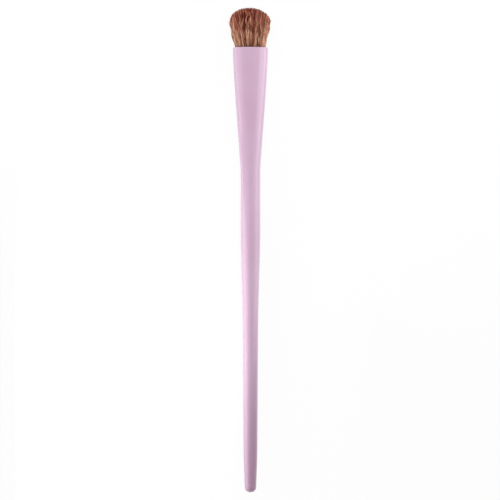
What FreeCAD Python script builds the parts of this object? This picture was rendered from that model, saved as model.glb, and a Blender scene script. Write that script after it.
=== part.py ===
"""Eyeshadow brush: a one-piece moulded handle whose flat oval mouth holds a glued hair tuft.

Every piece is modelled upright on the brush's own axis, with the tail end of the handle at zero and the
hair on top. One shared placement then lays the pieces down along +Y, flat side up, on the round belly of
the handle. Lengths are in millimetres, angles in degrees.
"""
import FreeCAD
import Part
import Sketcher

import math
import os

SIZES = {
    # Handle: heights are measured from the tail end
    "handle_length": 147.0,
    "end_crown_radius": 2.6,
    "end_corner_radius": 1.6,
    "end_diameter": 3.84,
    "tail_length": 11.0,
    "tail_diameter": 4.62,
    "tail_blend": 3.5,
    "stem_top": 60.0,
    "stem_top_diameter": 5.26,
    "stem_blend": 5.0,
    "belly_start": 83.0,
    "belly_blend": 3.0,
    "belly_length": 20.0,
    "belly_diameter": 6.6,
    "mouth_width": 11.7,
    "mouth_thickness": 6.4,
    "face_angle": 28.0,
    "rim_wall": 0.55,
    "rim_round": 0.24,
    "rim_lead": 0.15,
    "floor_wall": 0.7,
    "glue_bed": 1.6,
    # Hidden sleeve that carries the hair inside the mouth
    "ferrule_length": 14.0,
    "ferrule_recess": 0.4,
    "ferrule_wall": 0.3,
    "ferrule_slip": 0.05,
    "ferrule_lip": 0.9,
    "ferrule_corner": 0.25,
    # Root of the hair: resin plug and thread binding
    "root_glue_height": 4.0,
    "binding_height": 2.0,
    "binding_thickness": 0.35,
    "binding_spread": 1.5,
    # Hair: heights are measured from the rim of the mouth
    "hair_clearance": 0.05,
    "tuft_shoulder": 8.4,
    "tuft_width": 13.15,
    "tuft_thickness": 5.8,
    "dome_height": 4.6,
}

# The flare grows along an S curve: how far its end tangents reach, as shares of its length. Its sections crowd
# towards both ends, so that the stretches between them turn by little more than a degree
FLARE_SHARES = (0.06, 0.20)
FLARE_SECTIONS = 17
FLARE_CROWDING_SHARE = 0.65
RIM_STEPS = 4
# The rim's round and the socket's lead-in each take no more than this share of the wall
RIM_WALL_SHARE = 0.45
# Locks of hair round the tuft, and how deep the grooves between them run
LOCK_COUNT = 56
LOCK_GROOVE_SHARE = 0.06
# The dome follows a quarter ellipse up to the angle where its trimmed top is flat
DOME_STEPS = 6
DOME_FLAT_ANGLE = 80.0
QUARTER_TURN = 90.0
BISECTIONS = 60

# Heights along the brush, from the tail end
RIM = "sizes.handle_length"
RIM_ROUND = f"min(sizes.rim_round; sizes.rim_wall * {RIM_WALL_SHARE})"
RIM_LEAD = f"min(sizes.rim_lead; sizes.rim_wall * {RIM_WALL_SHARE})"
FLARE_TOP = f"({RIM} - {RIM_ROUND})"
BELLY_TOP = "(sizes.belly_start + sizes.belly_blend + sizes.belly_length)"
FERRULE_TOP = "(sizes.handle_length - sizes.ferrule_recess)"
FERRULE_FOOT = f"({FERRULE_TOP} - sizes.ferrule_length)"
SOCKET_FLOOR = f"({FERRULE_FOOT} - sizes.glue_bed)"
LIP_TOP = f"({FERRULE_FOOT} + sizes.ferrule_wall)"
ROOT_GLUE_TOP = f"({LIP_TOP} + sizes.root_glue_height)"
BINDING_TOP = f"({ROOT_GLUE_TOP} + sizes.binding_height)"
SHOULDER = f"({RIM} + sizes.tuft_shoulder)"
BRUSH_LENGTH = f"({SHOULDER} + sizes.dome_height)"

# Gaps and walls inward from the socket's wall, one inside the other
FERRULE_OUTSIDE = "sizes.ferrule_slip"
FERRULE_BORE = f"({FERRULE_OUTSIDE} + sizes.ferrule_wall)"
LIP_OPENING = f"({FERRULE_BORE} + sizes.ferrule_lip)"
HAIR_OUTSIDE = f"({FERRULE_BORE} + sizes.hair_clearance)"
BINDING_BORE = f"({HAIR_OUTSIDE} + sizes.binding_thickness)"

# Corners of the stem's half section from the tail up: diameter, height and how far the rounding reaches
STEM_KNEES = [
    ("tail_diameter", "tail_length", "tail_blend"),
    ("stem_top_diameter", "stem_top", "stem_blend"),
    ("belly_diameter", "belly_start", "belly_blend"),
]

doc = FreeCAD.newDocument("eyeshadow_brush")
sheet = doc.addObject("Spreadsheet::Sheet", "sizes")
for row, (alias, size) in enumerate(SIZES.items(), start=1):
    sheet.set(f"A{row}", alias)
    sheet.set(f"B{row}", str(size))
    sheet.setAlias(f"B{row}", alias)
doc.recompute()


def measure(expression):
    """The number that an expression on the sheet comes to."""
    result = sheet.evalExpression(str(expression))
    return float(getattr(result, "Value", result))


def point(x, y, z=0.0):
    return FreeCAD.Vector(x, y, z)


def lay_down(piece):
    """Turn an upright piece so that the hair points along +Y and its widest face looks up."""
    piece.Placement = FreeCAD.Placement(point(0, 0, 0), FreeCAD.Rotation(point(1, 0, 0), -QUARTER_TURN))
    piece.setExpression("Placement.Base.y", f"-{BRUSH_LENGTH} / 2")
    piece.setExpression("Placement.Base.z",
                        "max(sizes.belly_diameter; sizes.mouth_thickness; sizes.tuft_thickness) / 2")


def new_body(label):
    body = doc.addObject("PartDesign::Body", label)
    body.Label = label
    lay_down(body)
    return body


def new_sketch(body, name, role, height="0"):
    """A sketch on one of the body's own planes, raised to a height along the brush."""
    plane = next(item for item in body.Origin.OriginFeatures if item.Role == role)
    sketch = body.newObject("Sketcher::SketchObject", name)
    sketch.AttachmentSupport = [(plane, "")]
    sketch.MapMode = "FlatFace"
    sketch.setExpression("AttachmentOffset.Base.z", str(height))
    return sketch


def bind(sketch, name, kind, places, expression):
    """Add a dimension to a sketch and tie it to the sheet."""
    index = sketch.addConstraint(Sketcher.Constraint(kind, *places, measure(expression)))
    sketch.renameConstraint(index, name)
    sketch.setExpression(f"Constraints.{name}", expression)


def arc(centre, radius, start, end):
    circle = Part.Circle(centre, point(0, 0, 1), radius)
    return Part.ArcOfCircle(circle, start, end)


def oval_radii(half_width, half_thickness):
    """Expressions for the side and face radius of an oval of four tangent arcs."""
    sine = "sin(sizes.face_angle * 1 deg)"
    cosine = "cos(sizes.face_angle * 1 deg)"
    spread = f"((({half_width}) - ({half_thickness})) / ({cosine} + {sine} - 1))"
    side = f"(({half_width}) - {spread} * {sine})"
    face = f"(({half_thickness}) + {spread} * {cosine})"
    return side, face


def oval_arcs(half_width, half_thickness):
    """Right side, front face, left side and back face of an oval, anticlockwise."""
    side, face = (measure(radius) for radius in oval_radii(half_width, half_thickness))
    quarter = math.pi / 2
    turn = math.radians(measure("sizes.face_angle"))
    across = measure(half_width) - side
    sunk = measure(half_thickness) - face
    return [
        arc(point(across, 0), side, turn - quarter, quarter - turn),
        arc(point(0, sunk), face, quarter - turn, quarter + turn),
        arc(point(-across, 0), side, quarter + turn, 3 * quarter - turn),
        arc(point(0, -sunk), face, 3 * quarter - turn, 3 * quarter + turn),
    ]


def oval_sketch(body, name, height, half_width, half_thickness):
    """An oval section across the brush; it becomes a circle where width and thickness agree."""
    sketch = new_sketch(body, name, "XY_Plane", height)
    sketch.addGeometry(oval_arcs(half_width, half_thickness), False)
    rule = Sketcher.Constraint
    sketch.addConstraint([
        rule("PointOnObject", 0, 3, -1),
        rule("PointOnObject", 1, 3, -2),
        rule("Tangent", 0, 2, 1, 1),
        rule("Horizontal", 1, 1, 1, 2),
        rule("Vertical", 0, 1, 0, 2),
        rule("Tangent", 1, 2, 2, 1),
        rule("PointOnObject", 2, 3, -1),
        rule("Vertical", 2, 1, 2, 2),
        rule("Coincident", 2, 2, 3, 1),
        rule("Coincident", 3, 2, 0, 1),
        rule("Equal", 1, 3),
    ])
    side, face = oval_radii(half_width, half_thickness)
    bind(sketch, "side_radius", "Radius", (0,), side)
    bind(sketch, "join_across", "DistanceX", (-1, 1, 1, 1), f"{face} * sin(sizes.face_angle * 1 deg)")
    bind(sketch, "join_up", "DistanceY", (-1, 1, 1, 1), f"{side} * cos(sizes.face_angle * 1 deg)")
    return sketch


def curve_place(step, shares):
    """Where a step from 0 to 1 along an S curve lies: share of its length, share of its growth."""
    start_share, end_share = shares
    back = 1 - step
    along = 3 * back * back * step * start_share
    along += 3 * back * step * step * (1 - end_share) + step ** 3
    growth = 3 * back * step * step + step ** 3
    return along, growth


def flare_growth_at(height):
    """Share of the flare's growth that is reached at a height, found by halving."""
    wanted = measure(f"({height} - {BELLY_TOP}) / ({FLARE_TOP} - {BELLY_TOP})")
    low, high = 0.0, 1.0
    for _ in range(BISECTIONS):
        middle = (low + high) / 2
        if curve_place(middle, FLARE_SHARES)[0] < wanted:
            low = middle
        else:
            high = middle
    return curve_place(low, FLARE_SHARES)[1]


def flare_halves(growth):
    """Half width and half thickness of the handle's outside where the flare has grown by a share."""
    return tuple(f"((sizes.belly_diameter + {growth} * (sizes.{size} - sizes.belly_diameter)) / 2)"
                 for size in ("mouth_width", "mouth_thickness"))


FLOOR_HALVES = flare_halves(flare_growth_at(SOCKET_FLOOR))
MOUTH_HALVES = flare_halves(1)


def socket_halves(height, inset="0"):
    """Half width and half thickness of the tapered socket at a height, less an inset from its wall."""
    rise = f"(({height} - {SOCKET_FLOOR}) / ({RIM} - {SOCKET_FLOOR}))"
    halves = []
    for floor, mouth in zip(FLOOR_HALVES, MOUTH_HALVES):
        foot = f"({floor} - sizes.floor_wall)"
        top = f"({mouth} - sizes.rim_wall)"
        halves.append(f"({foot} + {rise} * ({top} - {foot}) - {inset})")
    return halves


def add_loft(body, name, kind, sections):
    """Add or cut the straight stretches from each section to the next."""
    loft = body.newObject(kind, name)
    loft.Profile = sections[0]
    loft.Sections = sections[1:]
    loft.Ruled = True
    doc.recompute()
    return loft


def socket_taper(body, name, kind, *levels):
    """Add or cut a tapered oval plug through levels, each a height and an inset from the socket's wall."""
    sections = [oval_sketch(body, f"{name}_level_{number}", height, *socket_halves(height, inset))
                for number, (height, inset) in enumerate(levels)]
    return add_loft(body, name, kind, sections)


def rounded_corner(before, corner, after):
    """Parabola that rounds a corner between two straight stretches, touching both."""
    curve = Part.BSplineCurve()
    curve.buildFromPolesMultsKnots([before, corner, after], [3, 3], [0, 1], False, 2)
    return curve


def at_height(start, end, height):
    """Point of a sketched line at a height."""
    return start + (end - start) * ((height - start.y) / (end.y - start.y))


def stem_outline():
    """Start geometry of the stem's half section: domed end, drawn-in tail, tapered stem, swell and belly."""
    crown, corner = measure("sizes.end_crown_radius"), measure("sizes.end_corner_radius")
    end_radius = measure("sizes.end_diameter / 2")
    knees = [point(measure(f"sizes.{out} / 2"), measure(f"sizes.{up}")) for out, up, _ in STEM_KNEES]
    blends = [measure(f"sizes.{blend}") for _, _, blend in STEM_KNEES]
    top = point(knees[-1].x, measure(BELLY_TOP))

    # The corner arc sits inside the crown arc and runs out along the tail's line, found by repeating
    slope = 0.0
    for _ in range(BISECTIONS):
        corner_x = end_radius - corner * math.cos(slope)
        corner_y = crown - math.sqrt((crown - corner) ** 2 - corner_x ** 2)
        end = point(end_radius, corner_y - corner * math.sin(slope))
        slope = math.atan2(knees[0].x - end.x, knees[0].y - end.y)
    crown_end = math.atan2(corner_y - crown, corner_x)

    outline = [
        arc(point(0, crown), crown, -math.pi / 2, crown_end),
        arc(point(corner_x, corner_y), corner, crown_end, -slope),
    ]
    line_start = previous = end
    for knee, blend, after in zip(knees, blends, knees[1:] + [top]):
        line_end = at_height(previous, knee, knee.y - blend)
        curve_end = at_height(knee, after, knee.y + blend)
        outline.append(Part.LineSegment(line_start, line_end))
        outline.append(rounded_corner(line_end, knee, curve_end))
        line_start, previous = curve_end, knee
    outline.append(Part.LineSegment(line_start, top))
    outline.append(Part.LineSegment(top, point(0, top.y)))
    outline.append(Part.LineSegment(point(0, top.y), point(0, 0)))
    return outline


def stem_sketch(body):
    """Half section of the handle from its end to the top of the belly, without a crease anywhere."""
    sketch = new_sketch(body, "stem_section", "XZ_Plane")
    outline = stem_outline()
    sketch.addGeometry(outline, False)
    rule = Sketcher.Constraint
    belly_line = len(outline) - 3
    top_line = len(outline) - 2
    axis_line = len(outline) - 1
    sketch.addConstraint([
        rule("Coincident", 0, 1, -1, 1),
        rule("PointOnObject", 0, 3, -2),
        rule("Tangent", 0, 2, 1, 1),
        rule("Tangent", 1, 2, 2, 1),
        rule("Vertical", belly_line),
        rule("Coincident", belly_line, 2, top_line, 1),
        rule("Horizontal", top_line),
        rule("PointOnObject", top_line, 2, -2),
        rule("Coincident", top_line, 2, axis_line, 1),
        rule("Coincident", axis_line, 2, 0, 1),
    ])
    bind(sketch, "crown", "Radius", (0,), "sizes.end_crown_radius")
    bind(sketch, "corner", "Radius", (1,), "sizes.end_corner_radius")
    bind(sketch, "end_out", "DistanceX", (-1, 1, 1, 2), "sizes.end_diameter / 2")
    bind(sketch, "top_up", "DistanceY", (-1, 1, belly_line, 2), BELLY_TOP)

    # Each rounded corner: its middle pole lies where the straight stretches before and after it would meet
    for number, (out, up, blend) in enumerate(STEM_KNEES):
        line = 2 + 2 * number
        curve = line + 1
        knee = sketch.GeometryCount + 1
        sketch.exposeInternalGeometry(curve)
        sketch.addConstraint([
            rule("Coincident", line, 2, curve, 1),
            rule("Coincident", curve, 2, curve + 1, 1),
            rule("PointOnObject", knee, 3, line),
            rule("PointOnObject", knee, 3, curve + 1),
        ])
        bind(sketch, f"{up}_out", "DistanceX", (-1, 1, knee, 3), f"sizes.{out} / 2")
        bind(sketch, f"{up}_up", "DistanceY", (-1, 1, knee, 3), f"sizes.{up}")
        bind(sketch, f"{blend}_from", "DistanceY", (-1, 1, curve, 1), f"sizes.{up} - sizes.{blend}")
        bind(sketch, f"{blend}_to", "DistanceY", (-1, 1, curve, 2), f"sizes.{up} + sizes.{blend}")
    return sketch


def make_handle():
    """Slim round stem that swells into a belly and then flares into the flat oval mouth."""
    body = new_body("handle")
    outline = stem_sketch(body)
    stem = body.newObject("PartDesign::Revolution", "stem")
    stem.Profile = outline
    stem.ReferenceAxis = (outline, ["V_Axis"])
    stem.Angle = 4 * QUARTER_TURN
    doc.recompute()

    levels = []
    for number in range(FLARE_SECTIONS):
        step = number / (FLARE_SECTIONS - 1)
        step -= FLARE_CROWDING_SHARE * math.sin(math.tau * step) / math.tau
        along, growth = curve_place(step, FLARE_SHARES)
        levels.append((f"({BELLY_TOP} + {along} * ({FLARE_TOP} - {BELLY_TOP}))", flare_halves(growth)))
    for step in range(1, RIM_STEPS + 1):
        turn = math.radians(QUARTER_TURN * step / RIM_STEPS)
        inset = f"{RIM_ROUND} * {1 - math.cos(turn)}"
        levels.append((f"({FLARE_TOP} + {RIM_ROUND} * {math.sin(turn)})",
                       [f"({half} - {inset})" for half in MOUTH_HALVES]))
    sections = [oval_sketch(body, f"flare_section_{number}", height, *halves)
                for number, (height, halves) in enumerate(levels)]
    add_loft(body, "flare", "PartDesign::AdditiveLoft", sections)

    socket_taper(body, "socket", "PartDesign::SubtractiveLoft", (SOCKET_FLOOR, "0"),
                 (f"({RIM} - {RIM_LEAD})", "0"), (RIM, f"(-{RIM_LEAD})"))
    return body


def make_inner_ferrule():
    """Thin drawn sleeve inside the mouth, open at the top and turned in at its bevelled foot."""
    body = new_body("inner_ferrule")
    foot_inset = f"({FERRULE_OUTSIDE} + sizes.ferrule_corner)"
    corner_top = f"({FERRULE_FOOT} + sizes.ferrule_corner)"
    socket_taper(body, "sleeve", "PartDesign::AdditiveLoft", (FERRULE_FOOT, foot_inset),
                 (corner_top, FERRULE_OUTSIDE), (FERRULE_TOP, FERRULE_OUTSIDE))
    socket_taper(body, "bore", "PartDesign::SubtractiveLoft", (LIP_TOP, FERRULE_BORE),
                 (FERRULE_TOP, FERRULE_BORE))
    socket_taper(body, "opening", "PartDesign::SubtractiveLoft", (FERRULE_FOOT, LIP_OPENING),
                 (LIP_TOP, LIP_OPENING))
    return body


def make_bond_glue():
    """Bed of adhesive between the floor of the socket and the foot of the sleeve."""
    body = new_body("bond_glue")
    socket_taper(body, "bed", "PartDesign::AdditiveLoft", (SOCKET_FLOOR, "0"), (FERRULE_FOOT, "0"))
    return body


def make_root_glue():
    """Resin plug that locks the hair ends into the sleeve, with a neck through the turned-in lip."""
    body = new_body("root_glue")
    socket_taper(body, "plug", "PartDesign::AdditiveLoft", (LIP_TOP, FERRULE_BORE),
                 (ROOT_GLUE_TOP, FERRULE_BORE))
    socket_taper(body, "neck", "PartDesign::AdditiveLoft", (FERRULE_FOOT, LIP_OPENING),
                 (LIP_TOP, LIP_OPENING))
    return body


def make_root_binding():
    """Band of wound thread that ties the hair together just above the resin."""
    body = new_body("root_binding")
    socket_taper(body, "band", "PartDesign::AdditiveLoft", (ROOT_GLUE_TOP, HAIR_OUTSIDE),
                 (BINDING_TOP, HAIR_OUTSIDE))
    socket_taper(body, "hair_way", "PartDesign::SubtractiveLoft", (ROOT_GLUE_TOP, BINDING_BORE),
                 (BINDING_TOP, BINDING_BORE))
    return body


def lock_outline(height, half_width, half_thickness):
    """Closed outline of the tuft at a height: a ridge for each lock and a groove between neighbours."""
    arcs = oval_arcs(half_width, half_thickness)
    ring = Part.Wire([piece.toShape() for piece in arcs]).discretize(Number=2 * LOCK_COUNT + 1)[:-1]
    level = measure(height)
    corners = []
    for number, place in enumerate(ring):
        reach = 1 - LOCK_GROOVE_SHARE * (number % 2)
        corners.append(point(place.x * reach, place.y * reach, level))
    return Part.makePolygon(corners + corners[:1])


def make_hair_tuft():
    """The hair as one ridged solid: tied at the root, flared out of the mouth and trimmed to a dome."""
    spread_top = f"({BINDING_TOP} + sizes.binding_spread)"
    outlines = [
        lock_outline(ROOT_GLUE_TOP, *socket_halves(ROOT_GLUE_TOP, BINDING_BORE)),
        lock_outline(BINDING_TOP, *socket_halves(BINDING_TOP, BINDING_BORE)),
        lock_outline(spread_top, *socket_halves(spread_top, HAIR_OUTSIDE)),
        lock_outline(FERRULE_TOP, *socket_halves(FERRULE_TOP, HAIR_OUTSIDE)),
    ]
    flat_rise = math.sin(math.radians(DOME_FLAT_ANGLE))
    for step in range(DOME_STEPS + 1):
        turn = math.radians(DOME_FLAT_ANGLE * step / DOME_STEPS)
        height = f"{SHOULDER} + {math.sin(turn) / flat_rise} * sizes.dome_height"
        halves = (f"({math.cos(turn)} * sizes.{size} / 2)" for size in ("tuft_width", "tuft_thickness"))
        outlines.append(lock_outline(height, *halves))
    tuft = doc.addObject("Part::Feature", "hair_tuft")
    tuft.Label = "hair_tuft"
    tuft.Shape = Part.makeLoft(outlines, True, True)
    lay_down(tuft)
    return tuft


pieces = [
    make_handle(),
    make_inner_ferrule(),
    make_bond_glue(),
    make_root_glue(),
    make_root_binding(),
    make_hair_tuft(),
]
doc.recompute()

for item in doc.Objects:
    if "Invalid" in item.State or "Error" in item.State:
        raise RuntimeError(f"{item.Label} did not build: {item.State}")
for piece in pieces:
    if piece.Shape.isNull() or not piece.Shape.isValid() or len(piece.Shape.Solids) != 1:
        raise RuntimeError(f"{piece.Label} is not one valid solid")

os.makedirs("parts", exist_ok=True)
for piece in pieces:
    piece.Shape.exportStep(f"parts/{piece.Label}.step")
    box = piece.Shape.optimalBoundingBox()
    print(f"{piece.Label}: {piece.Shape.Volume:.1f} mm3, {len(piece.Shape.Faces)} faces, "
          f"{box.XLength:.2f} x {box.YLength:.2f} x {box.ZLength:.2f} mm")
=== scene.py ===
"""Looks of a slim eyeshadow brush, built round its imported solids.

The handle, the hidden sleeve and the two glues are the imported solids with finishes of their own. The hair
and the thread that ties it are modelled here, strand by strand and turn by turn, in place of their solids.
Sizes in the classes are in millimetres, in the frame of the solids: +Y runs to the hair and +Z is up.
"""
import logging
import math
from dataclasses import dataclass
from enum import Enum
from typing import Any

import bpy
import numpy as np
from mathutils import Matrix, Vector


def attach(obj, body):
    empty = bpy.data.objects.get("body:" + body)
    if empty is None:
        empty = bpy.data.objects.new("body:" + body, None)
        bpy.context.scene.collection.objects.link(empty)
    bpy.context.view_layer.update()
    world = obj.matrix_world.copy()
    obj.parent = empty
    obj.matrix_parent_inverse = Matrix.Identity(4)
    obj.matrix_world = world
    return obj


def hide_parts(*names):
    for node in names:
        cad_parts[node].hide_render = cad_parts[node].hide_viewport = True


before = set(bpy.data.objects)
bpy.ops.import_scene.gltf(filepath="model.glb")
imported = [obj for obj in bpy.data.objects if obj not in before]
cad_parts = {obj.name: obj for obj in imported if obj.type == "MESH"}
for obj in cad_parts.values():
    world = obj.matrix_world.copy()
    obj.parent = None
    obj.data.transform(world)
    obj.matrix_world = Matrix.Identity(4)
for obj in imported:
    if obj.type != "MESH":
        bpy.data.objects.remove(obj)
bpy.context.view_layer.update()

LOG = logging.getLogger("brush")
MM = 0.001
BODY = "root"
STRAND_MAP = "OFBake"
AXIS_HEIGHT = 3.3


class Slot(Enum):
    """Material slots of the record for the thread and the hair; the new pieces make their own finishes and
    don't use them.
    """

    THREAD = "thread"
    HAIR = "hair"


class Layer(Enum):
    """Layers of the tuft, from its middle out."""

    CORE = "tuft_core"
    FILL = "tuft_fill"
    MANTLE = "tuft_mantle"
    VEIL = "tuft_veil"
    STRAYS = "tuft_strays"


class Share(Enum):
    """What a lamp gives the brush: all its light, or only the matt or the shiny part of it."""

    ALL = "all"
    MATT = "matt"
    SHINE = "shine"


def linear(code: str) -> tuple[float, float, float, float]:
    """Turn an sRGB hex colour into linear light.

    Args:
        code: six hex digits.

    Returns:
        Red, green, blue and an alpha of 1.
    """
    parts = [int(code[place:place + 2], 16) / 255 for place in (0, 2, 4)]
    light = [part / 12.92 if part <= 0.04045 else ((part + 0.055) / 1.055) ** 2.4 for part in parts]
    return light[0], light[1], light[2], 1.0


def add_node(tree: bpy.types.NodeTree, kind: str, values: dict[Any, Any] | None = None,
             links: dict[Any, bpy.types.NodeSocket] | None = None, **settings: Any) -> bpy.types.Node:
    """Add a node with its settings, the values of its sockets and its links.

    Args:
        tree: node tree that gets the node.
        kind: Blender's name for the kind of node.
        values: value of each input socket, by name or number.
        links: output socket that feeds each input socket, by name or number.
        settings: properties of the node.

    Returns:
        The new node.
    """
    node = tree.nodes.new(kind)
    for name, setting in settings.items():
        setattr(node, name, setting)
    for socket, value in (values or {}).items():
        node.inputs[socket].default_value = value
    for socket, source in (links or {}).items():
        tree.links.new(source, node.inputs[socket])
    return node


def set_ramp(node: bpy.types.Node, stops: list[tuple[float, str]]) -> None:
    """Give a colour ramp its stops.

    Args:
        node: the colour ramp.
        stops: place from 0 to 1 and hex colour of each stop, in order.
    """
    elements = node.color_ramp.elements
    while len(elements) < len(stops):
        elements.new(1.0)
    for element, (place, code) in zip(elements, stops):
        element.position = place
        element.color = linear(code)


def new_finish(name: str, **values: Any) -> tuple[bpy.types.Material, bpy.types.NodeTree, bpy.types.Node]:
    """Start a material with an empty tree and one Principled shader on its output.

    Args:
        name: name of the material.
        values: values of the shader's sockets, with _ for each space of their names.

    Returns:
        The material, its node tree and the shader.
    """
    material = bpy.data.materials.new(name)
    material.use_nodes = True
    tree = material.node_tree
    tree.nodes.clear()
    sockets = {socket.replace("_", " "): value for socket, value in values.items()}
    shader = add_node(tree, "ShaderNodeBsdfPrincipled", sockets)
    add_node(tree, "ShaderNodeOutputMaterial", links={"Surface": shader.outputs["BSDF"]})
    return material, tree, shader


def per_metre(size: float) -> float:
    """Texture scale at which a pattern repeats once in a size given in millimetres."""
    return 1 / (size * MM)


@dataclass(frozen=True)
class SatinLacquer:
    """ABS, injection moulded in one piece and sprayed with a clear satin lacquer.

    The pigmented plastic gives an even lilac with a breath of drift. Towards the thin tail the colour is
    darkened with painted shade, for the light that falls off there. The lacquer over it levelled smooth,
    so it gives clear, soft-edged reflections, and their sharpness drifts slowly with the colour.
    """

    body: str = "d2b0ca"
    drift: str = "cda9c3"
    # Colour towards the tail is painted shade: darker than the body, where the light falls off
    tail: str = "b891ad"
    tail_shade_start: float = -25.0
    tail_shade_end: float = -78.0
    # Faint rings showed after denoising where this reached 0.28, so the roughest place stays lower
    roughness: tuple[float, float] = (0.248, 0.272)
    ior: float = 1.55
    lacquer: float = 1.0
    lacquer_roughness: float = 0.16
    drift_mm: float = 22.0
    drift_detail: float = 2.0
    # Levels of the drift between which the colour and the roughness change
    colour_levels: tuple[float, float] = (0.35, 0.65)
    gloss_levels: tuple[float, float] = (0.3, 0.7)

    def material(self) -> bpy.types.Material:
        """Build the lacquered plastic.

        Returns:
            The material.
        """
        material, tree, shader = new_finish("satin_lacquered_abs", IOR=self.ior, Coat_Weight=self.lacquer,
                                            Coat_Roughness=self.lacquer_roughness)
        place = add_node(tree, "ShaderNodeTexCoord").outputs["Object"]
        drift = add_node(tree, "ShaderNodeTexNoise", {"Scale": per_metre(self.drift_mm),
                                                      "Detail": self.drift_detail}, {"Vector": place})
        body = add_node(tree, "ShaderNodeValToRGB", links={"Fac": drift.outputs["Fac"]})
        set_ramp(body, [(self.colour_levels[0], self.drift), (self.colour_levels[1], self.body)])
        along = add_node(tree, "ShaderNodeSeparateXYZ", links={"Vector": place})
        # Painted shade: the colour darkens towards the tail between these places along the brush
        painted_tail_shade = add_node(tree, "ShaderNodeMapRange", {"From Min": self.tail_shade_start * MM,
                                                      "From Max": self.tail_shade_end * MM},
                         {"Value": along.outputs["Y"]}, interpolation_type="SMOOTHSTEP")
        colour = add_node(tree, "ShaderNodeMix", {7: linear(self.tail)},
                          {0: painted_tail_shade.outputs["Result"], 6: body.outputs["Color"]}, data_type="RGBA")
        gloss = add_node(tree, "ShaderNodeMapRange", {"From Min": self.gloss_levels[0],
                                                      "From Max": self.gloss_levels[1],
                                                      "To Min": self.roughness[0],
                                                      "To Max": self.roughness[1]},
                         {"Value": drift.outputs["Fac"]})
        tree.links.new(colour.outputs[2], shader.inputs["Base Color"])
        tree.links.new(gloss.outputs["Result"], shader.inputs["Roughness"])
        return material


@dataclass(frozen=True)
class DrawnAluminium:
    """Aluminium, deep drawn into a thin sleeve.

    Drawing leaves fine scratches along the sleeve, so its shine is pulled out across them.
    """

    metal: str = "d6d7d9"
    shade: str = "b9bbc0"
    roughness: tuple[float, float] = (0.20, 0.38)
    scratch_mm: float = 0.12
    scratch_stretch: float = 0.03
    scratch_detail: float = 4.0
    scratch_depth_mm: float = 0.004
    scratch_strength: float = 0.5
    # Levels of the scratches between which the colour changes
    colour_levels: tuple[float, float] = (0.3, 0.7)

    def material(self) -> bpy.types.Material:
        """Build the drawn metal.

        Returns:
            The material.
        """
        material, tree, shader = new_finish("drawn_aluminium_sleeve", Metallic=1.0)
        place = add_node(tree, "ShaderNodeTexCoord").outputs["Object"]
        along = add_node(tree, "ShaderNodeMapping", {"Scale": (1.0, self.scratch_stretch, 1.0)},
                         {"Vector": place})
        scratch = add_node(tree, "ShaderNodeTexNoise", {"Scale": per_metre(self.scratch_mm),
                                                        "Detail": self.scratch_detail},
                           {"Vector": along.outputs["Vector"]})
        colour = add_node(tree, "ShaderNodeValToRGB", links={"Fac": scratch.outputs["Fac"]})
        set_ramp(colour, [(self.colour_levels[0], self.shade), (self.colour_levels[1], self.metal)])
        gloss = add_node(tree, "ShaderNodeMapRange", {"To Min": self.roughness[0],
                                                      "To Max": self.roughness[1]},
                         {"Value": scratch.outputs["Fac"]})
        bump = add_node(tree, "ShaderNodeBump", {"Strength": self.scratch_strength,
                                                 "Distance": self.scratch_depth_mm * MM},
                        {"Height": scratch.outputs["Fac"]})
        tree.links.new(colour.outputs["Color"], shader.inputs["Base Color"])
        tree.links.new(gloss.outputs["Result"], shader.inputs["Roughness"])
        tree.links.new(bump.outputs["Normal"], shader.inputs["Normal"])
        return material


@dataclass(frozen=True)
class PouredGlue:
    """A glue that was poured in and has set: glossy where it levelled, with a few small bubbles.

    Epoxy sets clear and amber, while the contact adhesive of the bed sets milky and duller.
    """

    name: str
    body: str
    deep: str
    roughness: float
    ior: float
    bubble_mm: float = 0.45
    bubble_depth_mm: float = 0.03
    bubble_strength: float = 0.3
    # Ways out from a bubble's middle between which the colour changes
    colour_levels: tuple[float, float] = (0.15, 0.55)

    def material(self) -> bpy.types.Material:
        """Build the set glue.

        Returns:
            The material.
        """
        material, tree, shader = new_finish(self.name, Roughness=self.roughness, IOR=self.ior)
        place = add_node(tree, "ShaderNodeTexCoord").outputs["Object"]
        bubbles = add_node(tree, "ShaderNodeTexVoronoi", {"Scale": per_metre(self.bubble_mm)},
                           {"Vector": place})
        colour = add_node(tree, "ShaderNodeValToRGB", links={"Fac": bubbles.outputs["Distance"]})
        set_ramp(colour, [(self.colour_levels[0], self.deep), (self.colour_levels[1], self.body)])
        bump = add_node(tree, "ShaderNodeBump", {"Strength": self.bubble_strength,
                                                 "Distance": self.bubble_depth_mm * MM},
                        {"Height": bubbles.outputs["Distance"]})
        tree.links.new(colour.outputs["Color"], shader.inputs["Base Color"])
        tree.links.new(bump.outputs["Normal"], shader.inputs["Normal"])
        return material


@dataclass(frozen=True)
class SpunThread:
    """Polyester sewing thread, spun from two plies: dull, with a fine slanting lay along each turn."""

    body: str = "d9d0bf"
    # Painted shade in the grooves of the lay, darker than the plies
    groove_shade: str = "a99c86"
    roughness: float = 0.75
    sheen: float = 0.2
    lay_mm: float = 1.596
    lay_wander: float = 1.5
    # Levels of the lay between which the colour changes
    colour_levels: tuple[float, float] = (0.2, 0.7)
    # A diagonal wave texture at a scale of 1 repeats once in this many units
    wave_unit: float = math.tau / (10 * math.sqrt(3))

    def material(self) -> bpy.types.Material:
        """Build the thread.

        Returns:
            The material.
        """
        material, tree, shader = new_finish("spun_polyester_thread", Roughness=self.roughness,
                                            Sheen_Weight=self.sheen)
        place = add_node(tree, "ShaderNodeTexCoord").outputs["Object"]
        lay = add_node(tree, "ShaderNodeTexWave", {"Scale": per_metre(self.lay_mm) * self.wave_unit,
                                                   "Distortion": self.lay_wander},
                       {"Vector": place}, bands_direction="DIAGONAL")
        colour = add_node(tree, "ShaderNodeValToRGB", links={"Fac": lay.outputs["Fac"]})
        set_ramp(colour, [(self.colour_levels[0], self.groove_shade), (self.colour_levels[1], self.body)])
        tree.links.new(colour.outputs["Color"], shader.inputs["Base Color"])
        return material


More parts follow.
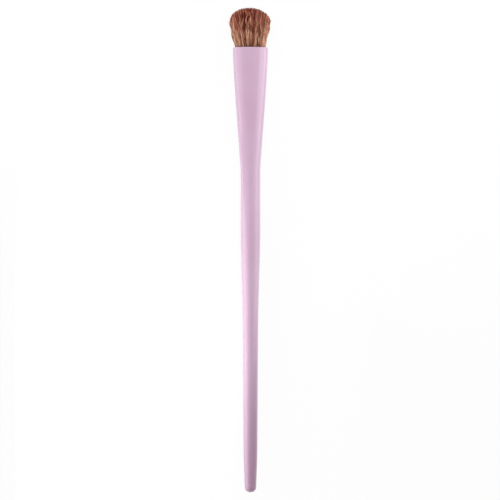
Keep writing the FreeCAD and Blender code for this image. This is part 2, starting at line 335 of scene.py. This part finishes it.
@dataclass(frozen=True)
class DyedHair:
    """Goat hair, dyed reddish brown: tan above the root, darker and redder at the soft tip.

    No two hairs took the dye alike, so each strand has a tone of its own. The first millimetre above the
    mouth is darkened with painted shade, where the hair goes into the mouth. The map of a strand holds its
    tone across and the way from root to tip along, and both are read here.
    """

    root_tones: tuple[str, str, str] = ("76381e", "cb9074", "f6c4a4")
    tip_tones: tuple[str, str, str] = ("641b0b", "b8604a", "de9b7d")
    # Painted shade at the root: its tone, and how far up the hair it reaches, as a share of the way to the
    # tip
    root_shade_tone: str = "4a2826"
    root_shade_reach: float = 0.09
    turn_start: float = 0.35
    turn_end: float = 0.80
    roughness: float = 0.5
    specular: float = 0.25

    def material(self) -> bpy.types.Material:
        """Build the dyed hair.

        Returns:
            The material.
        """
        material, tree, shader = new_finish("dyed_goat_hair", Roughness=self.roughness,
                                            Specular_IOR_Level=self.specular)
        place = add_node(tree, "ShaderNodeUVMap", uv_map=STRAND_MAP)
        split = add_node(tree, "ShaderNodeSeparateXYZ", links={"Vector": place.outputs["UV"]})
        ramps = []
        for tones in (self.root_tones, self.tip_tones):
            ramp = add_node(tree, "ShaderNodeValToRGB", links={"Fac": split.outputs["X"]})
            set_ramp(ramp, [(0.0, tones[0]), (0.5, tones[1]), (1.0, tones[2])])
            ramps.append(ramp.outputs["Color"])
        turn = add_node(tree, "ShaderNodeMapRange", {"From Min": self.turn_start, "From Max": self.turn_end},
                        {"Value": split.outputs["Y"]}, interpolation_type="SMOOTHSTEP")
        dyed = add_node(tree, "ShaderNodeMix", links={0: turn.outputs["Result"], 6: ramps[0], 7: ramps[1]},
                        data_type="RGBA")
        # Painted shade over the hair just above the mouth
        root_shade = add_node(tree, "ShaderNodeMapRange", {"From Max": self.root_shade_reach},
                       {"Value": split.outputs["Y"]})
        colour = add_node(tree, "ShaderNodeMix", {6: linear(self.root_shade_tone)},
                          {0: root_shade.outputs["Result"], 7: dyed.outputs[2]}, data_type="RGBA")
        tree.links.new(colour.outputs[2], shader.inputs["Base Color"])
        return material


def new_piece(name: str, points: np.ndarray, faces: list[np.ndarray], material: bpy.types.Material,
              node: str) -> bpy.types.Object:
    """Make a smooth mesh that stands for a solid.

    Args:
        name: name of the piece.
        points: its points in millimetres.
        faces: tables of point numbers, one row for each face, in tables of faces with as many corners.
        material: its finish.
        node: the solid that it stands for.

    Returns:
        The new object.
    """
    corners = np.concatenate([table.ravel() for table in faces])
    sizes = np.concatenate([np.full(len(table), table.shape[1]) for table in faces])
    mesh = bpy.data.meshes.new(name)
    mesh.vertices.add(len(points))
    mesh.vertices.foreach_set("co", (points * MM).astype(np.float32).ravel())
    mesh.loops.add(len(corners))
    mesh.loops.foreach_set("vertex_index", corners.astype(np.int32))
    mesh.polygons.add(len(sizes))
    mesh.polygons.foreach_set("loop_start", (np.cumsum(sizes) - sizes).astype(np.int32))
    mesh.polygons.foreach_set("use_smooth", np.ones(len(sizes), dtype=bool))
    mesh.update(calc_edges=True)
    mesh.validate()
    mesh.materials.append(material)
    piece = bpy.data.objects.new(name, mesh)
    bpy.context.scene.collection.objects.link(piece)
    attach(piece, BODY)
    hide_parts(node)
    LOG.info("%s: %d points, %d faces", name, len(points), len(sizes))
    return piece


def tube_faces(tubes: int, rings: int, sides: int) -> list[np.ndarray]:
    """Walls and end caps of many tubes, with their points in order of tube, ring and side.

    Args:
        tubes: how many tubes.
        rings: rings of points along each tube.
        sides: points round each ring.

    Returns:
        The walls, the caps at the first rings and the caps at the last rings.
    """
    ring = np.arange(rings - 1)[:, None] * sides
    side = np.arange(sides)[None, :]
    after = (side + 1) % sides
    corners = np.broadcast_arrays(ring + side, ring + sides + side, ring + sides + after, ring + after)
    wall = np.stack(corners, axis=2)
    start = np.arange(tubes)[:, None, None] * (rings * sides)
    walls = (start + wall.reshape(1, -1, 4)).reshape(-1, 4)
    first = start[:, :, 0] + side
    last = (start[:, :, 0] + (rings - 1) * sides + side)[:, ::-1]
    return [walls, first, last]


def dress(node: str, material: bpy.types.Material) -> None:
    """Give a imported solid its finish.

    Args:
        node: name of the solid.
        material: its finish.
    """
    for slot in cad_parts[node].material_slots:
        slot.material = material
    LOG.info("%s: dressed in %s", node, material.name)


@dataclass(frozen=True)
class Oval:
    """Section across the brush, made of four tangent arcs."""

    half_width: float
    half_thickness: float
    face_angle: float = 28.0

    def points(self, turns: np.ndarray) -> np.ndarray:
        """Points of the outline by the direction that it faces.

        Args:
            turns: directions in whole turns from +X.

        Returns:
            One row of width and thickness for each direction.
        """
        tilt = math.radians(self.face_angle)
        spread = (self.half_width - self.half_thickness) / (math.cos(tilt) + math.sin(tilt) - 1)
        side = self.half_width - spread * math.sin(tilt)
        face = self.half_thickness + spread * math.cos(tilt)
        facing = np.stack([np.cos(turns * math.tau), np.sin(turns * math.tau)], axis=1)
        on_face = np.abs(facing[:, 1]) > math.cos(tilt)
        radius = np.where(on_face, face, side)
        centre_x = np.where(on_face, 0.0, np.sign(facing[:, 0]) * (self.half_width - side))
        centre_z = np.where(on_face, np.sign(facing[:, 1]) * (self.half_thickness - face), 0.0)
        return facing * radius[:, None] + np.stack([centre_x, centre_z], axis=1)


@dataclass
class Handle:
    """The moulded handle, from the round tail to the flat oval mouth."""

    finish: SatinLacquer = SatinLacquer()

    def dress(self) -> None:
        """Give the moulding its lacquer."""
        dress("handle", self.finish.material())


@dataclass
class Socket:
    """What holds the hair inside the mouth: the sleeve, its glues and the thread round the roots."""

    sleeve: DrawnAluminium = DrawnAluminium()
    plug: PouredGlue = PouredGlue("set_epoxy_resin", "b98a4a", "8a5f2a", 0.12, 1.55)
    bed: PouredGlue = PouredGlue("set_contact_adhesive", "e2dccf", "cfc6b4", 0.5, 1.47)
    thread: SpunThread = SpunThread()
    binding_start: float = 56.9
    binding_height: float = 2.0
    foot: Oval = Oval(4.299, 2.175)
    top: Oval = Oval(4.418, 2.190)
    thread_diameter: float = 0.33
    turns: int = 6
    steps_per_turn: int = 72
    sides: int = 8

    def dress(self) -> None:
        """Give the sleeve and the glues their finishes."""
        dress("inner_ferrule", self.sleeve.material())
        dress("root_glue", self.plug.material())
        dress("bond_glue", self.bed.material())

    def wind(self) -> bpy.types.Object:
        """Wind the thread that ties the hair together.

        Returns:
            The thread as one tube.
        """
        steps = self.turns * self.steps_per_turn
        share = np.linspace(0.0, 1.0, steps + 1)[:, None]
        radius = self.thread_diameter / 2
        turns = share[:, 0] * self.turns
        facing = np.stack([np.cos(turns * math.tau), np.sin(turns * math.tau)], axis=1)
        outline = self.foot.points(turns) * (1 - share) + self.top.points(turns) * share - radius * facing
        rise = self.binding_start + radius + (self.binding_height - self.thread_diameter) * share[:, 0]
        middle = np.stack([outline[:, 0], rise, outline[:, 1] + AXIS_HEIGHT], axis=1)
        outward = np.stack([facing[:, 0], np.zeros_like(turns), facing[:, 1]], axis=1)
        along = np.array([0.0, 1.0, 0.0])
        rings = []
        for side in range(self.sides):
            angle = math.tau * side / self.sides
            rings.append(middle + radius * (math.cos(angle) * outward + math.sin(angle) * along))
        points = np.stack(rings, axis=1).reshape(-1, 3)
        return new_piece("thread_binding", points, tube_faces(1, steps + 1, self.sides),
                         self.thread.material(), "root_binding")


@dataclass(frozen=True)
class Locks:
    """Locks that the strands gather in, one row each.

    Places and leans are shares of the tuft's half width and half thickness, and waves are in millimetres.
    """

    places: np.ndarray
    leans: np.ndarray
    wave_heights: np.ndarray
    wave_lengths: np.ndarray
    wave_starts: np.ndarray
    tones: np.ndarray
    shifts: np.ndarray


@dataclass(frozen=True)
class LayerPlan:
    """How one layer of the tuft is grown."""

    strands: int
    rings: int
    inner: float
    outer: float
    # Tone of the layer's strands; inner layers are coloured darker as painted shade of the tuft's depth
    tone: float
    gather: float
    lean: float = 0.0
    flare: float = 0.0


@dataclass
class HairTuft:
    """The hair: tied at the root, squeezed by the sleeve, fanned out above the rim and trimmed to a dome."""

    finish: DyedHair = DyedHair()
    # Where the bundle's outside runs, from the root up: place along the brush, half width, half thickness
    root: tuple[float, float, float] = (56.9, 3.90, 1.77)
    tie_top: tuple[float, float, float] = (58.9, 4.02, 1.79)
    spread: tuple[float, float, float] = (60.4, 4.46, 2.15)
    mouth: tuple[float, float, float] = (66.6, 4.83, 2.20)
    shoulder: tuple[float, float, float] = (75.4, 6.62, 2.95)
    # The trimmed dome stands this high over the shoulder, a little higher on its left
    dome_height: float = 4.78
    dome_power: float = 0.6
    dome_lean: float = 0.35
    dome_depth: float = 0.7
    left_fullness: float = 0.40
    oval_power: float = 2.15
    shortfall: float = 0.28
    lock_count: int = 640
    lock_tries: int = 10
    lock_lean: float = 0.30
    lock_tone: float = 0.29
    tone_tries: int = 4
    neighbours: int = 3
    strand_tone: float = 0.14
    # Light comes through the thin left and right edges of the tuft, so its hairs look lighter there
    edge_light: float = 0.20
    edge_power: float = 4.0
    wave_heights: tuple[float, float] = (0.10, 0.32)
    wave_lengths: tuple[float, float] = (3.6, 6.5)
    # Height of a strand's own wave, and how many times finer it is than its lock's
    strand_wave: float = 0.05
    strand_wave_rate: float = 1.7
    # Thicker than a real hair, so that single strands show
    strand_diameter: float = 0.12
    diameter_spread: tuple[float, float] = (0.75, 1.2)
    # Share of its thickness that a strand keeps at the mouth, the shoulder, the dome's top and its own tip
    slimming: tuple[float, float, float] = (1.0, 0.85, 0.6)
    tip_share: float = 0.25
    sides: int = 3
    # The map has this many columns of tone, and a strand takes up this share of its column
    tone_columns: int = 16
    column_share: float = 0.5
    lightest: float = 0.999
    # Locks and strands turn redder higher or lower than others, by a shift that grows over the first quarter
    lock_shift: float = 0.11
    strand_shift: float = 0.06
    shift_rate: float = 4.0
    floor_gap: float = 0.08
    tries_per_place: int = 4
    # Locks draw in over the lower half of the free hair, each strand by a share of its layer's gathering,
    # and let go again of part of that towards the tip
    draw_rate: float = 2.0
    gather_spread: tuple[float, float] = (0.6, 1.0)
    release: float = 0.6
    release_start: float = 0.55
    release_end: float = 1.15
    seed: int = 50
    # The core and the fill have much darker tones than the outer layers: painted shade for the inside of the
    # tuft
    layers: tuple[tuple[Layer, LayerPlan], ...] = (
        (Layer.CORE, LayerPlan(2300, 11, 0.0, 0.72, 0.12, 0.20)),
        (Layer.FILL, LayerPlan(1850, 15, 0.72, 0.92, 0.16, 0.45)),
        (Layer.MANTLE, LayerPlan(1250, 15, 0.90, 1.0, 0.53, 0.68, 0.10)),
        (Layer.VEIL, LayerPlan(400, 15, 0.94, 1.0, 0.55, 0.10, 0.55)),
        (Layer.STRAYS, LayerPlan(60, 15, 0.92, 1.0, 0.45, 0.15, 0.20, 0.45)),
    )

    def build(self) -> list[bpy.types.Object]:
        """Grow the layers of the tuft.

        Returns:
            One piece for each layer.
        """
        chance = np.random.default_rng(self.seed)
        material = self.finish.material()
        locks = self.draw_locks(chance)
        return [self.grow(chance, layer, plan, locks, material) for layer, plan in self.layers]

    def draw_locks(self, chance: np.random.Generator) -> Locks:
        """Draw where the locks stand, how they lean and wave, and how light each is.

        Args:
            chance: source of random numbers.

        Returns:
            The locks.
        """
        count = self.lock_count
        places = self.scatter(chance, 1, 0.0, 1.0)
        while len(places) < count:
            tries = self.scatter(chance, self.lock_tries, 0.0, 1.0)
            places = np.concatenate([places, tries[self.apart(tries, places).min(axis=1).argmax()][None, :]])
        return Locks(
            places=places,
            leans=chance.normal(0.0, self.lock_lean, (count, 2)) / np.array(self.shoulder[1:]),
            wave_heights=chance.uniform(*self.wave_heights, (count, 1)),
            wave_lengths=chance.uniform(*self.wave_lengths, (count, 1)),
            wave_starts=chance.uniform(0.0, math.tau, (count, 2)),
            tones=self.draw_tones(chance, places),
            shifts=chance.normal(0.0, self.lock_shift, count),
        )

    def draw_tones(self, chance: np.random.Generator, places: np.ndarray) -> np.ndarray:
        """Draw how light each lock is, unlike the locks beside it.

        Args:
            chance: source of random numbers.
            places: where the locks stand.

        Returns:
            One tone for each lock.
        """
        tones = chance.normal(0.0, self.lock_tone, len(places))
        for lock in range(1, len(places)):
            tries = chance.normal(0.0, self.lock_tone, self.tone_tries)
            beside = np.argsort(self.apart(places[lock:lock + 1], places[:lock])[0])[:self.neighbours]
            tones[lock] = tries[np.abs(tries[:, None] - tones[beside]).sum(axis=1).argmax()]
        return tones

    def scatter(self, chance: np.random.Generator, count: int, inner: float, outer: float) -> np.ndarray:
        """Strew places evenly over a ring of the bundle's section.

        Args:
            chance: source of random numbers.
            count: how many places.
            inner: inner reach of the ring, as a share of the outside.
            outer: outer reach of the ring, as a share of the outside.

        Returns:
            Places across and through the bundle, each from -1 to 1.
        """
        found: list[np.ndarray] = []
        missing = count
        while missing > 0:
            tries = chance.uniform(-1.0, 1.0, (self.tries_per_place * count, 2))
            reach = self.reach(tries)
            kept = tries[(reach >= inner) & (reach <= outer)][:missing]
            found.append(kept)
            missing -= len(kept)
        return np.concatenate(found)

    def reach(self, places: np.ndarray) -> np.ndarray:
        """How far out places lie, as a share of the bundle's oval outside."""
        return (np.abs(places) ** self.oval_power).sum(axis=-1) ** (1 / self.oval_power)

    def apart(self, places: np.ndarray, others: np.ndarray) -> np.ndarray:
        """How far places lie from others where the tuft is widest, in one row for each place."""
        gap = (places[:, None, :] - others[None, :, :]) * np.array(self.shoulder[1:])
        return np.sqrt((gap ** 2).sum(axis=2))

    def dome(self, places: np.ndarray) -> np.ndarray:
        """Find how far along the brush the trimmed dome lies over places of the section.

        Args:
            places: places across and through the bundle.

        Returns:
            One place along the brush for each.
        """
        inside = np.clip(1 - self.reach(places * np.array([1.0, self.dome_depth])) ** 2, 0.0, 1.0)
        height = self.dome_height * inside ** self.dome_power
        return self.shoulder[0] + height - self.dome_lean * places[:, 0]

    def grow(self, chance: np.random.Generator, layer: Layer, plan: LayerPlan, locks: Locks,
             material: bpy.types.Material) -> bpy.types.Object:
        """Grow one layer's strands as slim tapered tubes.

        Args:
            chance: source of random numbers.
            layer: the layer to grow.
            plan: how it is grown.
            locks: the locks that its strands gather in.
            material: the hair's finish.

        Returns:
            The layer as one piece.
        """
        count = plan.strands
        places = self.scatter(chance, count, plan.inner, plan.outer)
        nearest = self.apart(places, locks.places).argmin(axis=1)
        gather = plan.gather * chance.uniform(*self.gather_spread, (count, 1))
        draw = gather * (locks.places[nearest] - places)
        lean = locks.leans[nearest] + chance.normal(0.0, plan.lean, (count, 2)) / np.array(self.shoulder[1:])
        ends = self.stand(self.rise(self.dome(places)[:, None]), places, lean, draw)[:, 0]
        tips = self.dome(ends) - np.abs(chance.normal(0.0, self.shortfall, count))
        heights = self.ring_heights(tips, plan.rings)
        rise = self.rise(heights)
        full = np.clip(rise, 0.0, 1.0)
        stand = self.stand(rise, places, lean, draw)
        outside = np.stack([self.outside(heights, 1), self.outside(heights, 2)], axis=2)
        swing = math.tau * heights[:, :, None] / locks.wave_lengths[nearest][:, None, :]
        start = locks.wave_starts[nearest][:, None, :]
        wave = locks.wave_heights[nearest][:, None, :] * np.sin(swing + start)
        own_start = chance.uniform(0.0, math.tau, (count, 1, 2))
        own = self.strand_wave * np.sin(swing * self.strand_wave_rate + own_start)
        bend = plan.flare * places * chance.uniform(0.0, 1.0, (count, 1))
        spot = stand * outside + full * (wave + own) + rise ** 2 * bend[:, None, :]
        spot[:, :, 0] += self.left_fullness * (np.sin(math.pi * full) * np.minimum(stand, 0.0))[:, :, 0]
        level = np.maximum(spot[:, :, 1] + AXIS_HEIGHT, self.floor_gap)
        middle = np.stack([spot[:, :, 0], heights, level], axis=2)

        points = self.tubes(chance, middle, heights)
        faces = tube_faces(count, heights.shape[1], self.sides)
        piece = new_piece(layer.value, points, faces, material, "hair_tuft")
        tone = plan.tone + locks.tones[nearest] + chance.normal(0.0, self.strand_tone, count)
        tone += self.edge_light * np.abs(places[:, 0]) ** self.edge_power
        top = self.shoulder[0] + self.dome_height
        along = np.clip((heights - self.mouth[0]) / (top - self.mouth[0]), 0.0, 1.0)
        shift = locks.shifts[nearest] + chance.normal(0.0, self.strand_shift, count)
        along += shift[:, None] * np.clip(self.shift_rate * along, 0.0, 1.0)
        self.map_strands(piece, np.clip(tone, 0.0, self.lightest), np.clip(along, 0.0, 1.0))
        return piece

    def rise(self, heights: np.ndarray) -> np.ndarray:
        """How far over the mouth places lie: 0 there and 1 at the shoulder, with one axis more."""
        return np.clip((heights - self.mouth[0]) / (self.shoulder[0] - self.mouth[0]), 0.0, None)[:, :, None]

    def stand(self, rise: np.ndarray, places: np.ndarray, lean: np.ndarray, draw: np.ndarray) -> np.ndarray:
        """Where strands stand in the section: where they were tied, then leaning and drawn into their locks.

        Args:
            rise: how far over the mouth each ring lies.
            places: where the strands were tied.
            lean: how far they lean at the shoulder.
            draw: how far their locks draw them in.

        Returns:
            Places of each ring of each strand, none of them outside the bundle.
        """
        let_go = np.clip((rise - self.release_start) / (self.release_end - self.release_start), 0.0, 1.0)
        hold = np.clip(self.draw_rate * rise, 0.0, 1.0) * (1 - self.release * let_go)
        stand = places[:, None, :] + rise * lean[:, None, :] + hold * draw[:, None, :]
        return stand / np.maximum(self.reach(stand), 1.0)[:, :, None]

    def ring_heights(self, tips: np.ndarray, rings: int) -> np.ndarray:
        """Place the rings of strands: through the tie and the sleeve, then evenly up to each strand's tip.

        Args:
            tips: how far along the brush each strand ends.
            rings: how many rings stand over the mouth.

        Returns:
            One row of places for each strand.
        """
        held = np.array([level[0] for level in (self.root, self.tie_top, self.spread)])
        steps = np.linspace(0.0, 1.0, rings)
        free = self.mouth[0] + (tips - self.mouth[0])[:, None] * steps[None, :]
        return np.concatenate([np.repeat(held[None, :], len(tips), axis=0), free], axis=1)

    def outside(self, heights: np.ndarray, side: int) -> np.ndarray:
        """Half width or half thickness of the bundle at places along the brush.

        Args:
            heights: places along the brush.
            side: 1 for the half width and 2 for the half thickness.

        Returns:
            One half size for each place.
        """
        levels = np.array([self.root, self.tie_top, self.spread, self.mouth, self.shoulder])
        fan = levels[-1] + (levels[-1] - levels[-2])
        levels = np.concatenate([levels, fan[None, :]])
        return np.interp(heights, levels[:, 0], levels[:, side])

    def tubes(self, chance: np.random.Generator, middle: np.ndarray, heights: np.ndarray) -> np.ndarray:
        """Points of tapered tubes round the middles of strands.

        Args:
            chance: source of random numbers.
            middle: middle of each ring of each strand.
            heights: place of each ring along the brush.

        Returns:
            The points in order of strand, ring and side.
        """
        count = len(middle)
        top = self.shoulder[0] + self.dome_height
        taper = np.interp(heights, [self.mouth[0], self.shoulder[0], top], self.slimming)
        taper[:, -1] = self.tip_share
        radius = self.strand_diameter / 2 * taper * chance.uniform(*self.diameter_spread, (count, 1))
        twist = chance.uniform(0.0, math.tau, count)
        rings = []
        for side in range(self.sides):
            angle = twist + math.tau * side / self.sides
            around = np.stack([np.cos(angle), np.zeros(count), np.sin(angle)], axis=1)
            rings.append(middle + radius[:, :, None] * around[:, None, :])
        return np.stack(rings, axis=2).reshape(-1, 3)

    def map_strands(self, piece: bpy.types.Object, tones: np.ndarray, along: np.ndarray) -> None:
        """Lay each strand on the map: its tone across, and its way from root to tip along.

        Args:
            piece: the layer's piece.
            tones: tone of each strand, from 0 to just under 1.
            along: way from root to tip of each ring of each strand, from 0 to 1.
        """
        count, rings = along.shape
        column = (np.floor(tones * self.tone_columns) + 0.5) / self.tone_columns
        side = np.arange(self.sides)
        width = self.column_share / self.tone_columns
        left = column[:, None, None] + (side[None, None, :] / self.sides - 0.5) * width
        right = left + width / self.sides
        low = along[:, :-1, None]
        high = along[:, 1:, None]
        shape = (count, rings - 1, self.sides)
        corners = [(left, low), (left, high), (right, high), (right, low)]
        spread = [[np.broadcast_to(across, shape), np.broadcast_to(way, shape)] for across, way in corners]
        walls = np.stack([np.stack(pair, axis=3) for pair in spread], axis=3).reshape(-1)
        caps = []
        for end in (along[:, 0], along[:, -1]):
            spots = np.stack([column, end], axis=1)
            caps.append(np.repeat(spots[:, None, :], self.sides, axis=1).reshape(-1))
        layer = piece.data.uv_layers.new(name=STRAND_MAP)
        layer.data.foreach_set("uv", np.concatenate([walls, *caps]).astype(np.float32))


@dataclass(frozen=True)
class SoftBox:
    """A soft box that looks at the brush.

    Its brightness is set against white paper in full light, which is 1.
    """

    name: str
    place: tuple[float, float, float]
    size: tuple[float, float]
    brightness: float
    aim: float
    roll: float = 0.0
    share: Share = Share.ALL

    def hang(self) -> None:
        """Hang the box, aimed at a place along the brush and turned round its own line of sight."""
        light = bpy.data.lights.new(self.name, "AREA")
        light.shape = "RECTANGLE"
        light.size, light.size_y = self.size[0] * MM, self.size[1] * MM
        light.energy = self.brightness * math.pi * light.size * light.size_y
        lamp = bpy.data.objects.new(self.name, light)
        line = Vector((0.0, self.aim, AXIS_HEIGHT)) - Vector(self.place)
        turn = line.to_track_quat("-Z", "Y").to_matrix() @ Matrix.Rotation(math.radians(self.roll), 3, "Z")
        lamp.matrix_world = Matrix.Translation(Vector(self.place) * MM) @ turn.to_4x4()
        lamp.visible_camera = False
        lamp.visible_diffuse = self.share is not Share.SHINE
        lamp.visible_glossy = self.share is not Share.MATT
        bpy.context.scene.collection.objects.link(lamp)


@dataclass(frozen=True)
class GreyCard:
    """A card of grey felt that stands along the brush and takes light away from one side of it."""

    name: str
    side: float
    outline: tuple[tuple[float, float], ...]
    tone: str

    def stand(self) -> None:
        """Stand the card up, out of the camera's sight."""
        mesh = bpy.data.meshes.new(self.name)
        corners = [(self.side * MM, along * MM, height * MM) for along, height in self.outline]
        mesh.from_pydata(corners, [], [tuple(range(len(corners)))])
        material, _, _ = new_finish("grey_felt", Base_Color=linear(self.tone), Roughness=1.0,
                                    Specular_IOR_Level=0.0)
        mesh.materials.append(material)
        card = bpy.data.objects.new(self.name, mesh)
        card.visible_camera = False
        bpy.context.scene.collection.objects.link(card)


@dataclass
class Studio:
    """White floor and tent, grey cards, soft boxes and the camera straight above."""

    frame_mm: float = 165.15
    sensor_mm: float = 36.0
    camera_height: float = 1200.0
    nearest_seen: float = 50.0
    farthest_seen: float = 20000.0
    view_x: float = -0.13
    view_y: float = 0.065
    floor_half: float = 1500.0
    floor_drop: float = 0.02
    paper: str = "ffffff"
    glow_share: float = 0.94
    # Brightness of the tent by the cosine of the angle from its dim patch, a little left of overhead
    tent: tuple[tuple[float, float], ...] = ((0.0, 1.85), (0.28, 1.45), (0.60, 0.97), (0.82, 0.50),
                                             (0.956, 0.31), (1.0, 0.27))
    dim_patch: tuple[float, float, float] = (-0.05, 0.0, 0.999)
    # Share of the tent's light that is left behind the tail and behind the hair
    tail_dimming: float = 0.4
    head_dimming: float = 0.45
    # One card stands right of the tail, lower towards the belly, and one between the boxes on the left
    cards: tuple[GreyCard, ...] = (
        GreyCard("tail_card", 42.0, ((-115.0, 0.0), (-20.0, 0.0), (-66.0, 60.0), (-115.0, 60.0)), "b8b8b8"),
        GreyCard("gap_card", -60.0, ((19.0, 5.0), (36.0, 5.0), (36.0, 58.0), (9.0, 58.0)), "a0a0a0"),
    )
    # Low on the left one box gives the matt light of the stem, and a taller, fainter one its shine
    boxes: tuple[SoftBox, ...] = (
        SoftBox("left_box", (-72.0, -46.7, 22.0), (115.0, 60.0), 2.7, -46.7, -10.0, Share.MATT),
        SoftBox("left_strip", (-71.5, -46.7, 38.1), (114.0, 104.0), 0.4, -46.7, -10.0, Share.SHINE),
        SoftBox("left_head_box", (-85.0, 93.0, 45.0), (110.0, 80.0), 0.75, 93.0, 8.5),
        SoftBox("right_head_box", (85.0, 90.0, 45.0), (110.0, 80.0), 1.05, 90.0, -8.5),
        SoftBox("head_box", (0.0, 410.0, 390.0), (470.0, 250.0), 3.1, 30.0),
    )

    def build(self) -> None:
        """Set the floor, the cards, the tent, the lamps and the camera."""
        self.floor()
        for card in self.cards:
            card.stand()
        self.world()
        for box in self.boxes:
            box.hang()
        self.camera()

    def floor(self) -> None:
        """Lay the white floor, which shows white to the eye and keeps the soft shadow of the brush."""
        half = self.floor_half * MM
        mesh = bpy.data.meshes.new("floor")
        corners = [(-half, -half, 0), (half, -half, 0), (half, half, 0), (-half, half, 0)]
        mesh.from_pydata(corners, [], [(0, 1, 2, 3)])
        floor = bpy.data.objects.new("floor", mesh)
        floor.location.z = -self.floor_drop * MM
        bpy.context.scene.collection.objects.link(floor)
        material = bpy.data.materials.new("white_paper_sweep")
        material.use_nodes = True
        tree = material.node_tree
        tree.nodes.clear()
        paper = add_node(tree, "ShaderNodeBsdfDiffuse", {"Color": linear(self.paper)})
        glow = add_node(tree, "ShaderNodeEmission", {"Color": linear(self.paper), "Strength": 1.0})
        path = add_node(tree, "ShaderNodeLightPath")
        shown = path.outputs["Is Camera Ray"]
        for ray in ("Is Glossy Ray", "Is Transmission Ray"):
            shown = add_node(tree, "ShaderNodeMath", links={0: shown, 1: path.outputs[ray]},
                             operation="MAXIMUM").outputs[0]
        share = add_node(tree, "ShaderNodeMath", {1: self.glow_share}, {0: shown}, operation="MULTIPLY")
        mix = add_node(tree, "ShaderNodeMixShader", links={0: share.outputs[0], 1: paper.outputs[0],
                                                           2: glow.outputs[0]})
        add_node(tree, "ShaderNodeOutputMaterial", links={"Surface": mix.outputs[0]})
        mesh.materials.append(material)

    def world(self) -> None:
        """Put a white tent round the brush, dimmer behind its ends and overhead, where the camera is."""
        world = bpy.data.worlds.new("studio")
        world.use_nodes = True
        bpy.context.scene.world = world
        tree = world.node_tree
        tree.nodes.clear()
        way = add_node(tree, "ShaderNodeTexCoord").outputs["Generated"]
        split = add_node(tree, "ShaderNodeSeparateXYZ", links={"Vector": way})
        near = add_node(tree, "ShaderNodeVectorMath", {1: self.dim_patch}, {0: way}, operation="DOT_PRODUCT")
        level = add_node(tree, "ShaderNodeFloatCurve", links={"Value": near.outputs["Value"]})
        brightest = max(brightness for _, brightness in self.tent)
        spots = level.mapping.curves[0].points
        while len(spots) < len(self.tent):
            spots.new(1.0, 1.0)
        for spot, (place, brightness) in zip(spots, self.tent):
            spot.location = (place, brightness / brightest)
        level.mapping.update()
        path = add_node(tree, "ShaderNodeLightPath")
        shown = level.outputs["Value"]
        for end, dimming in ((-1.0, self.tail_dimming), (1.0, self.head_dimming)):
            share = add_node(tree, "ShaderNodeMapRange", {"From Min": 0.0, "From Max": end, "To Min": 1.0,
                                                          "To Max": dimming}, {"Value": split.outputs["Y"]})
            shown = add_node(tree, "ShaderNodeMath", links={0: shown, 1: share.outputs["Result"]},
                             operation="MULTIPLY").outputs[0]
        shown = add_node(tree, "ShaderNodeMath", {1: brightest}, {0: shown}, operation="MULTIPLY").outputs[0]
        # The camera itself sees a strength of 1, which is white
        strength = add_node(tree, "ShaderNodeMix", {3: 1.0}, {0: path.outputs["Is Camera Ray"], 2: shown})
        sky = add_node(tree, "ShaderNodeBackground", {"Color": linear(self.paper)},
                       {"Strength": strength.outputs[0]})
        add_node(tree, "ShaderNodeOutputWorld", links={"Surface": sky.outputs[0]})

    def camera(self) -> None:
        """Hang the camera straight above the brush, with the hair at the top of the picture."""
        lens = bpy.data.cameras.new("above")
        lens.sensor_width = self.sensor_mm
        lens.lens = self.sensor_mm * (self.camera_height - AXIS_HEIGHT) / self.frame_mm
        lens.clip_start = self.nearest_seen * MM
        lens.clip_end = self.farthest_seen * MM
        camera = bpy.data.objects.new("above", lens)
        camera.location = Vector((self.view_x, self.view_y, self.camera_height)) * MM
        bpy.context.scene.collection.objects.link(camera)
        bpy.context.scene.camera = camera
        bpy.context.scene.view_settings.view_transform = "Standard"


def main() -> None:
    """Dress the solids, grow the hair and set the studio."""
    logging.basicConfig(level=logging.INFO, format="%(name)s: %(message)s")
    Handle().dress()
    socket = Socket()
    socket.dress()
    socket.wind()
    HairTuft().build()
    Studio().build()


if __name__ == "__main__":
    main()
